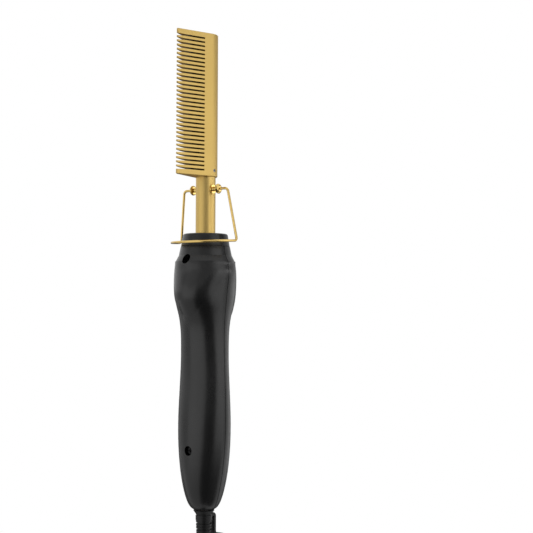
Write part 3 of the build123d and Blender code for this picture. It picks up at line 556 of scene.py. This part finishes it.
GLASS_SLEEVE = Finish("glass_sleeve", (0.58, 0.57, 0.54), (0.70, 0.69, 0.66), 0.6, 0.8,
                      Grain.MOULDED, 0.4, 0.00006, 0.7)
CONTACT_BRASS = Finish("contact_brass", (0.50, 0.33, 0.10), (0.60, 0.42, 0.15), 0.18, 0.32,
                       Grain.DRAWN, 1.0, 0.000008, 0.25, metallic=1.0)
BLADE_METAL = Finish("blade_metal", (0.58, 0.54, 0.46), (0.68, 0.64, 0.56), 0.18, 0.32,
                     Grain.DRAWN, 1.0, 0.000008, 0.3, metallic=1.0)


class Finisher:
    """Keeps one material per finish and puts it on pieces."""

    def __init__(self) -> None:
        """Starts with the shared groups and no materials."""
        self.groups = GroupBuilder()
        self.made: dict[str, bpy.types.Material] = {}

    def get(self, finish: Finish) -> bpy.types.Material:
        """Gives the material of a finish, made the first time it is asked for.

        Args:
            finish: The finish.

        Returns:
            The material.
        """
        if finish.name not in self.made:
            self.made[finish.name] = finish.material(self.groups)
        return self.made[finish.name]

    def dress(self, node: str, finish: Finish) -> bpy.types.Object:
        """Puts a finish on a CAD node.

        Args:
            node: The node's name.
            finish: The finish.

        Returns:
            The node's object.
        """
        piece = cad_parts[node]
        if not piece.material_slots:
            piece.data.materials.append(None)
        for place in piece.material_slots:
            place.link = "OBJECT"
            place.material = self.get(finish)
        LOG.info("%s: %s", node, finish.name)
        return piece

    def dress_all(self, finishes: dict[str, Finish]) -> None:
        """Puts finishes on several CAD nodes.

        Args:
            finishes: The nodes' names and their finishes.
        """
        for node, finish in finishes.items():
            self.dress(node, finish)


# ---------------------------------------------------------------- sub-assemblies


@dataclass
class HeatedHead:
    """The comb head with its stem and the heater inside."""

    finisher: Finisher

    def build(self) -> None:
        """Dresses the head, the stem and the heater."""
        self.finisher.dress_all({
            "comb_head": GOLD_FROST,
            "head_set_screw": DARK_STEEL,
            "stem_tube": GOLD_TUBE,
            "heater_plate": HEATER_CERAMIC,
            "heater_clamps": BARE_ALUMINIUM,
            "temperature_sensor": SENSOR_BEAD,
            "heater_leads": GLASS_SLEEVE,
        })


@dataclass
class FoldingStand:
    """The bent wire and the two studs that it turns in."""

    finisher: Finisher

    def build(self) -> None:
        """Dresses the wire and the studs."""
        for node in ("wire_stand", "stand_stud_left", "stand_stud_right"):
            self.finisher.dress(node, GOLD_POLISH)


@dataclass
class MouldedHandle:
    """The two shells, the collar, the sleeve inside and the screws. Sizes in metres."""

    finisher: Finisher
    collar_top: float = 0.1037
    collar_bottom: float = 0.0964
    collar_top_radius: float = 0.0131
    collar_bottom_radius: float = 0.01435
    collar_bore: float = 0.0060
    collar_edge: float = 0.0013
    spigot_radius: float = 0.01215
    spigot_inner: float = 0.01035
    spigot_bottom: float = 0.0929
    plate_bottom: float = 0.1017
    edge_steps: int = 6
    facets: int = 128
    sharp_degrees: float = 30

    def _rounded_edge(self) -> list[Span]:
        """Gives the collar's upper outer edge, from its top face to its side.

        Returns:
            Radius and height of each point.
        """
        slope = math.atan2(
            self.collar_bottom_radius - self.collar_top_radius, self.collar_top - self.collar_bottom
        )
        reach = self.collar_edge * math.tan((math.pi / 2 - slope) / 2)
        centre_radius = self.collar_top_radius - reach
        centre_height = self.collar_top - self.collar_edge
        edge = []
        for step in range(self.edge_steps + 1):
            turn = math.pi / 2 - (math.pi / 2 - slope) * step / self.edge_steps
            edge.append((
                centre_radius + self.collar_edge * math.cos(turn),
                centre_height + self.collar_edge * math.sin(turn),
            ))
        return edge

    def _collar_section(self) -> list[Span]:
        """Gives the collar's section, with its upper outer edge rounded.

        Returns:
            Radius and height of each corner, in order round the section.
        """
        return [
            (self.collar_bore, self.plate_bottom),
            (self.collar_bore, self.collar_top),
            *self._rounded_edge(),
            (self.collar_bottom_radius, self.collar_bottom),
            (self.spigot_radius, self.collar_bottom),
            (self.spigot_radius, self.spigot_bottom),
            (self.spigot_inner, self.spigot_bottom),
            (self.spigot_inner, self.plate_bottom),
        ]

    def _turned(self, name: str, section: list[Span]) -> bpy.types.Object:
        """Turns a closed section about the handle's axis.

        Args:
            name: The piece's name.
            section: Radius and height of each corner, in order round the section.

        Returns:
            The piece.
        """
        count = len(section)
        points, faces = [], []
        for side in range(self.facets):
            turn = 2 * math.pi * side / self.facets
            cos, sin = math.cos(turn), math.sin(turn)
            points += [(radius * cos, radius * sin, height) for radius, height in section]
            here, there = side * count, (side + 1) % self.facets * count
            for corner in range(count):
                after = (corner + 1) % count
                faces.append((here + corner, here + after, there + after, there + corner))
        mesh = bpy.data.meshes.new(name)
        mesh.from_pydata(points, [], faces)
        mesh.shade_smooth()
        mesh.set_sharp_from_angle(angle=math.radians(self.sharp_degrees))
        return linked_object(name, mesh)

    def build(self) -> None:
        """Builds the collar with its rounded upper edge and dresses the housing."""
        collar = self._turned("rounded_collar", self._collar_section())
        collar.data.materials.append(self.finisher.get(BLACK_SATIN))
        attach(collar, "handle")
        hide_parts("nose_collar")
        LOG.info("rounded_collar: %s", BLACK_SATIN.name)
        self.finisher.dress_all({
            "front_shell": BLACK_SHELL,
            "rear_shell": BLACK_SHELL,
            "stem_holder": HOLDER_RESIN,
            "shell_screws": BLACK_STEEL,
        })


@dataclass
class ControlPanel:
    """The button, the lamp window and the board behind them."""

    finisher: Finisher

    def build(self) -> None:
        """Dresses the panel and the board."""
        self.finisher.dress_all({
            "power_button": BLACK_SATIN,
            "indicator_window": SMOKED_LENS,
            "indicator_lamps": LIT_LAMP,
            "circuit_board": BOARD_LACQUER,
            "board_screws": DARK_STEEL,
            "tact_switch": CHIP_RESIN,
            "status_leds": LIT_LAMP,
            "triac": CHIP_RESIN,
            "control_chip": CHIP_RESIN,
            "filter_capacitor": CAPACITOR_FILM,
            "mains_choke": CHIP_RESIN,
        })


@dataclass
class CordSwivel:
    """The turning core, its contacts, the ribbed boot and the hanging loop."""

    finisher: Finisher

    def build(self) -> None:
        """Dresses the swivel and the boot."""
        self.finisher.dress_all({
            "swivel_socket": HOLDER_RESIN,
            "swivel_core": HOLDER_RESIN,
            "slip_rings": CONTACT_BRASS,
            "wiper_contacts": CONTACT_BRASS,
            "supply_leads": GLASS_SLEEVE,
            "cord_boot": BLACK_RUBBER,
            "hanging_loop": BLACK_RUBBER,
        })


@dataclass
class MainsCord:
    """The cord that hangs from the boot: its hank, tie and plug. Sizes in metres."""

    finisher: Finisher
    radius: float = 0.0026
    exit_z: float = -0.097
    length: float = 1.8
    fold_inner: float = 0.0158
    pitch: float = 0.0053
    layers: int = 4
    fold_points: int = 6
    fold_top: float = -0.1527
    fold_bottom: float = -0.2007
    tail_y: float = 0.0212
    tail_bend_out: float = 0.0012
    tail_bend_drop: float = 0.008
    tail_end_drop: float = 0.015
    plug_y: float = 0.0257
    plug_top: float = -0.177
    plug_cover: float = 0.002
    bevel_steps: int = 5
    curve_steps: int = 4
    lead: tuple[Point, ...] = (
        (0.0, 0.0, -0.0675),
        (0.0, 0.0, -0.084),
        (0.0, 0.0, -0.1005),
        (-0.0008, 0.0, -0.1115),
        (-0.0072, 0.0, -0.1225),
        (-0.0150, 0.0, -0.1322),
        (-0.0206, 0.0, -0.1430),
    )

    def _fold(self, start: Span, end: Span, top: bool) -> list[Point]:
        """Gives the control points of one half-round fold, from one run to the next.

        Args:
            start: Radius and depth that the fold leaves.
            end: Radius and depth that it reaches.
            top: True for the fold at the top, which goes from right to left.

        Returns:
            The points.
        """
        points = []
        spacing = 180 / self.fold_points
        stretch = 1.0 / math.cos(math.radians(spacing / 2))
        for step in range(self.fold_points):
            angle = math.radians(spacing / 2 + spacing * step)
            share = step / (self.fold_points - 1)
            radius = (start[0] + (end[0] - start[0]) * share) * stretch
            depth = start[1] + (end[1] - start[1]) * share
            side, rise = radius * math.cos(angle), radius * math.sin(angle)
            if top:
                points.append((side, depth, self.fold_top + rise))
            else:
                points.append((-side, depth, self.fold_bottom - rise))
        return points

    def route(self) -> list[Point]:
        """Gives the whole centreline: lead, two turns a layer and the tail to the plug.

        Returns:
            The control points.
        """
        outer = self.fold_inner + self.pitch
        rows = []
        for layer in range(self.layers):
            depth = layer * self.pitch
            pair = [(outer, depth), (self.fold_inner, depth)]
            rows += pair if layer % 2 == 0 else reversed(pair)
        points = list(self.lead)
        for row, after in zip(rows, [*rows[1:], (self.fold_inner, self.tail_y)]):
            points += self._fold(row, row, False)
            points += self._fold(row, after, True)
        points += [
            (
                -self.fold_inner,
                self.tail_y + self.tail_bend_out,
                self.fold_top - self.tail_bend_drop,
            ),
            (-self.fold_inner, self.plug_y, self.fold_top - self.tail_end_drop),
            (-self.fold_inner, self.plug_y, self.plug_top - self.plug_cover),
        ]
        return points

    def build(self) -> None:
        """Builds the cord as one spline and dresses the tie and the plug."""
        points = self.route()
        curve = bpy.data.curves.new("mains_cord", "CURVE")
        curve.dimensions = "3D"
        curve.bevel_depth = self.radius
        curve.bevel_resolution = self.bevel_steps
        curve.resolution_u = self.curve_steps
        curve.use_fill_caps = True
        spline = curve.splines.new("NURBS")
        spline.points.add(len(points) - 1)
        for place, point in zip(spline.points, points):
            place.co = (*point, 1.0)
        spline.order_u = 3
        spline.use_endpoint_u = True
        cord = linked_object("mains_cord", curve)
        curve.materials.append(self.finisher.get(CORD_JACKET))
        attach(cord, "swivel")
        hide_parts("power_cord", "cord_hank", "cord_tail")
        tie = self.finisher.dress("hank_tie", TIE_STRAP)
        body = self.finisher.dress("plug_body", BLACK_RUBBER)
        blades = self.finisher.dress("plug_blades", BLADE_METAL)
        LOG.info("mains_cord: %d points", len(points))


# ---------------------------------------------------------------- studio


class Stance(Enum):
    """How a card stands in the studio."""

    UPRIGHT = "upright"
    LYING = "lying"


@dataclass(frozen=True)
class Softbox:
    """One lamp: its azimuth in degrees from the camera and its power in watts."""

    name: str
    azimuth: float
    power: float


@dataclass(frozen=True)
class CardPlan:
    """A glowing card that only reflections see.

    Its azimuths are in degrees from the camera. Its reach, in metres, is the height
    of the edges of an upright card, or how near and far a lying one goes. Its level
    is how bright it looks in a reflection, where 1 is white.
    """

    name: str
    azimuths: Span
    reach: Span
    level: float
    stance: Stance = Stance.UPRIGHT


SOFTBOXES = (
    Softbox("softbox_left", -52, 0.6),
    Softbox("softbox_right", 60, 0.8),
)
CARDS = (
    CardPlan("front_card", (-18, 30), (-0.3, 0.17), 0.08),
    CardPlan("upper_card", (-30, 38), (0.17, 0.26), 1.3),
    CardPlan("wire_card", (-55, 45), (0.26, 0.42), 0.35),
    CardPlan("top_card", (-18, 25), (0.42, 1.5), 0.5),
    CardPlan("stem_card", (42, 68), (0.15, 0.26), 2.4),
    CardPlan("upper_left_card", (-100, -18), (0.42, 1.5), 0.55),
    CardPlan("side_card", (80, 112), (0.12, 0.36), 2.2),
    CardPlan("upper_right_card", (80, 112), (0.36, 1.2), 0.15),
    CardPlan("back_right_card", (112, 165), (0.12, 1.2), 0.6),
    CardPlan("back_card", (150, 212), (-0.3, 0.1), 0.15),
    CardPlan("left_card", (-150, -88), (-0.3, 0.06), 0.5),
    CardPlan("right_card", (84, 110), (-0.3, 0.06), 0.4),
    CardPlan("lower_card", (-25, 80), (0.14, 1.25), 0.05, Stance.LYING),
    CardPlan("lower_left_card", (-110, -25), (0.14, 1.25), 0.6, Stance.LYING),
    CardPlan("lower_back_card", (135, 235), (0.05, 1.25), 0.1, Stance.LYING),
)


@dataclass
class Studio:
    """The floor, the world, the lamps and the camera. Sizes in metres, angles in degrees."""

    world_light: float = 0.85
    floor_z: float = -0.30
    floor_half: float = 6.0
    floor_tone: Colour = (0.86, 0.86, 0.86)
    floor_roughness: float = 0.9
    floor_gloss: float = 0.1
    floor_fade: Span = (0.45, 1.1)
    softbox_distance: float = 0.9
    softbox_height: float = 0.15
    softbox_size: Span = (0.8, 1.0)
    softbox_aim: float = 0.08
    card_distance: float = 1.3
    card_bend: float = 12
    card_lift: float = 0.003
    camera_azimuth: float = 221.6
    camera_distance: float = 0.705
    camera_height: float = 0.0596
    camera_roll: float = 0.22
    aim_right: float = 0.0362
    aim_height: float = 0.0847
    lens: float = 80.6
    sensor: float = 36.0

    @staticmethod
    def _white_when_seen(tree: bpy.types.NodeTree) -> bpy.types.NodeSocket:
        """Adds a mask that is 1 for camera, glossy and transmission rays.

        Args:
            tree: The tree that it goes in.

        Returns:
            The mask.
        """
        rays = tree.nodes.new("ShaderNodeLightPath").outputs
        first = combine(tree, "MAXIMUM", rays["Is Camera Ray"], rays["Is Glossy Ray"])
        return combine(tree, "MAXIMUM", first, rays["Is Transmission Ray"])

    def world(self) -> None:
        """Makes a world that is white where it is seen and softer as light."""
        world = bpy.data.worlds.new("studio_air")
        bpy.context.scene.world = world
        world.use_nodes = True
        tree = world.node_tree
        back = tree.nodes["Background"]
        back.inputs["Color"].default_value = WHITE
        level = remap(tree, self._white_when_seen(tree), (0.0, 1.0), (self.world_light, 1.0))
        tree.links.new(level, back.inputs["Strength"])

    def _floor_paper(self) -> bpy.types.Material:
        """Makes the floor's paper, which turns white with distance where it is seen.

        Returns:
            The material.
        """
        material, shader = blank_material("floor_paper")
        tree = material.node_tree
        shader.inputs["Base Color"].default_value = (*self.floor_tone, 1.0)
        shader.inputs["Roughness"].default_value = self.floor_roughness
        shader.inputs["Specular IOR Level"].default_value = self.floor_gloss
        place = tree.nodes.new("ShaderNodeTexCoord")
        far = tree.nodes.new("ShaderNodeVectorMath")
        far.operation = "LENGTH"
        tree.links.new(place.outputs["Object"], far.inputs[0])
        fade = remap(tree, far.outputs["Value"], self.floor_fade, (0.0, 1.0), "SMOOTHSTEP")
        share = combine(tree, "MULTIPLY", fade, self._white_when_seen(tree))
        paper = tree.nodes.new("ShaderNodeEmission")
        paper.inputs["Color"].default_value = WHITE
        both = tree.nodes.new("ShaderNodeMixShader")
        tree.links.new(share, both.inputs["Fac"])
        tree.links.new(shader.outputs["BSDF"], both.inputs[1])
        tree.links.new(paper.outputs["Emission"], both.inputs[2])
        tree.links.new(both.outputs["Shader"], tree.nodes["Material Output"].inputs["Surface"])
        return material

    def floor(self) -> None:
        """Makes the plain pale floor."""
        half = self.floor_half
        mesh = bpy.data.meshes.new("floor")
        mesh.from_pydata(
            [(-half, -half, 0.0), (half, -half, 0.0), (half, half, 0.0), (-half, half, 0.0)],
            [],
            [(0, 1, 2, 3)],
        )
        mesh.materials.append(self._floor_paper())
        floor = linked_object("floor", mesh)
        floor.location.z = self.floor_z

    def _toward(self, azimuth: float) -> Vector:
        """Gives a level direction.

        Args:
            azimuth: Where it points, in degrees from the camera.

        Returns:
            The direction.
        """
        turn = math.radians(self.camera_azimuth + azimuth)
        return Vector((math.sin(turn), -math.cos(turn), 0.0))

    def _fan(self, azimuths: Span) -> list[Vector]:
        """Gives level directions from one azimuth to another, at most card_bend apart.

        Args:
            azimuths: The two azimuths, in degrees from the camera.

        Returns:
            The directions.
        """
        span = azimuths[1] - azimuths[0]
        parts = math.ceil(span / self.card_bend)
        return [self._toward(azimuths[0] + span * step / parts) for step in range(parts + 1)]

    def _softbox(self, box: Softbox) -> None:
        """Adds one softbox that faces the object.

        Args:
            box: The softbox.
        """
        light = bpy.data.lights.new(box.name, "AREA")
        light.shape = "RECTANGLE"
        light.size, light.size_y = self.softbox_size
        light.energy = box.power
        lamp = linked_object(box.name, light)
        height = Vector((0.0, 0.0, self.softbox_height))
        lamp.location = self._toward(box.azimuth) * self.softbox_distance + height
        aim = Vector((0.0, 0.0, self.softbox_aim)) - lamp.location
        lamp.rotation_euler = aim.to_track_quat("-Z", "Y").to_euler()

    def _edges(self, plan: CardPlan) -> tuple[list[Vector], list[Vector]]:
        """Places the two long edges of a card, which curves round the object.

        Args:
            plan: The card's plan.

        Returns:
            The points along each edge.
        """
        fan = self._fan(plan.azimuths)
        if plan.stance is Stance.LYING:
            lift = Vector((0.0, 0.0, self.floor_z + self.card_lift))
            near, far = ([way * reach + lift for way in fan] for reach in plan.reach)
            return near, far
        foot = [way * self.card_distance for way in fan]
        low, high = ([point + Vector((0.0, 0.0, z)) for point in foot] for z in plan.reach)
        return low, high

    def _card(self, plan: CardPlan) -> None:
        """Adds a card that only reflections see.

        Args:
            plan: The card's plan.
        """
        first, second = self._edges(plan)
        count = len(first)
        faces = [(step, step + 1, count + step + 1, count + step) for step in range(count - 1)]
        mesh = bpy.data.meshes.new(plan.name)
        mesh.from_pydata([tuple(point) for point in first + second], [], faces)
        material, shader = blank_material(plan.name)
        shader.inputs["Base Color"].default_value = BLACK
        shader.inputs["Emission Color"].default_value = WHITE
        shader.inputs["Emission Strength"].default_value = plan.level
        mesh.materials.append(material)
        card = linked_object(plan.name, mesh)
        card.visible_camera = False
        card.visible_diffuse = False
        card.visible_shadow = False
        card.visible_transmission = False

    def lamps(self) -> None:
        """Places the softboxes and the cards that shape the reflections."""
        for box in SOFTBOXES:
            self._softbox(box)
        for plan in CARDS:
            self._card(plan)

    def camera(self) -> None:
        """Places the camera at the height of the handle, with the comb left of centre."""
        turn = math.radians(self.camera_azimuth)
        right = Vector((math.cos(turn), math.sin(turn), 0.0))
        data = bpy.data.cameras.new("camera")
        data.lens = self.lens
        data.sensor_width = self.sensor
        camera = linked_object("camera", data)
        height = Vector((0.0, 0.0, self.camera_height))
        camera.location = self._toward(0.0) * self.camera_distance + height
        aim = right * self.aim_right + Vector((0.0, 0.0, self.aim_height))
        level = (aim - camera.location).to_track_quat("-Z", "Y")
        roll = Quaternion((0.0, 0.0, 1.0), math.radians(self.camera_roll))
        camera.rotation_euler = (level @ roll).to_euler()
        bpy.context.scene.camera = camera

    def build(self) -> None:
        """Builds the studio."""
        bpy.context.scene.view_settings.view_transform = "Standard"
        self.world()
        self.floor()
        self.lamps()
        self.camera()


def main() -> None:
    """Builds the scene."""
    logging.basicConfig(level=logging.INFO)
    finisher = Finisher()
    for assembly in (
        HeatedHead(finisher),
        FoldingStand(finisher),
        MouldedHandle(finisher),
        ControlPanel(finisher),
        CordSwivel(finisher),
        MainsCord(finisher),
        Studio(),
    ):
        LOG.info("building %s", type(assembly).__name__)
        assembly.build()


if __name__ == "__main__":
    main()
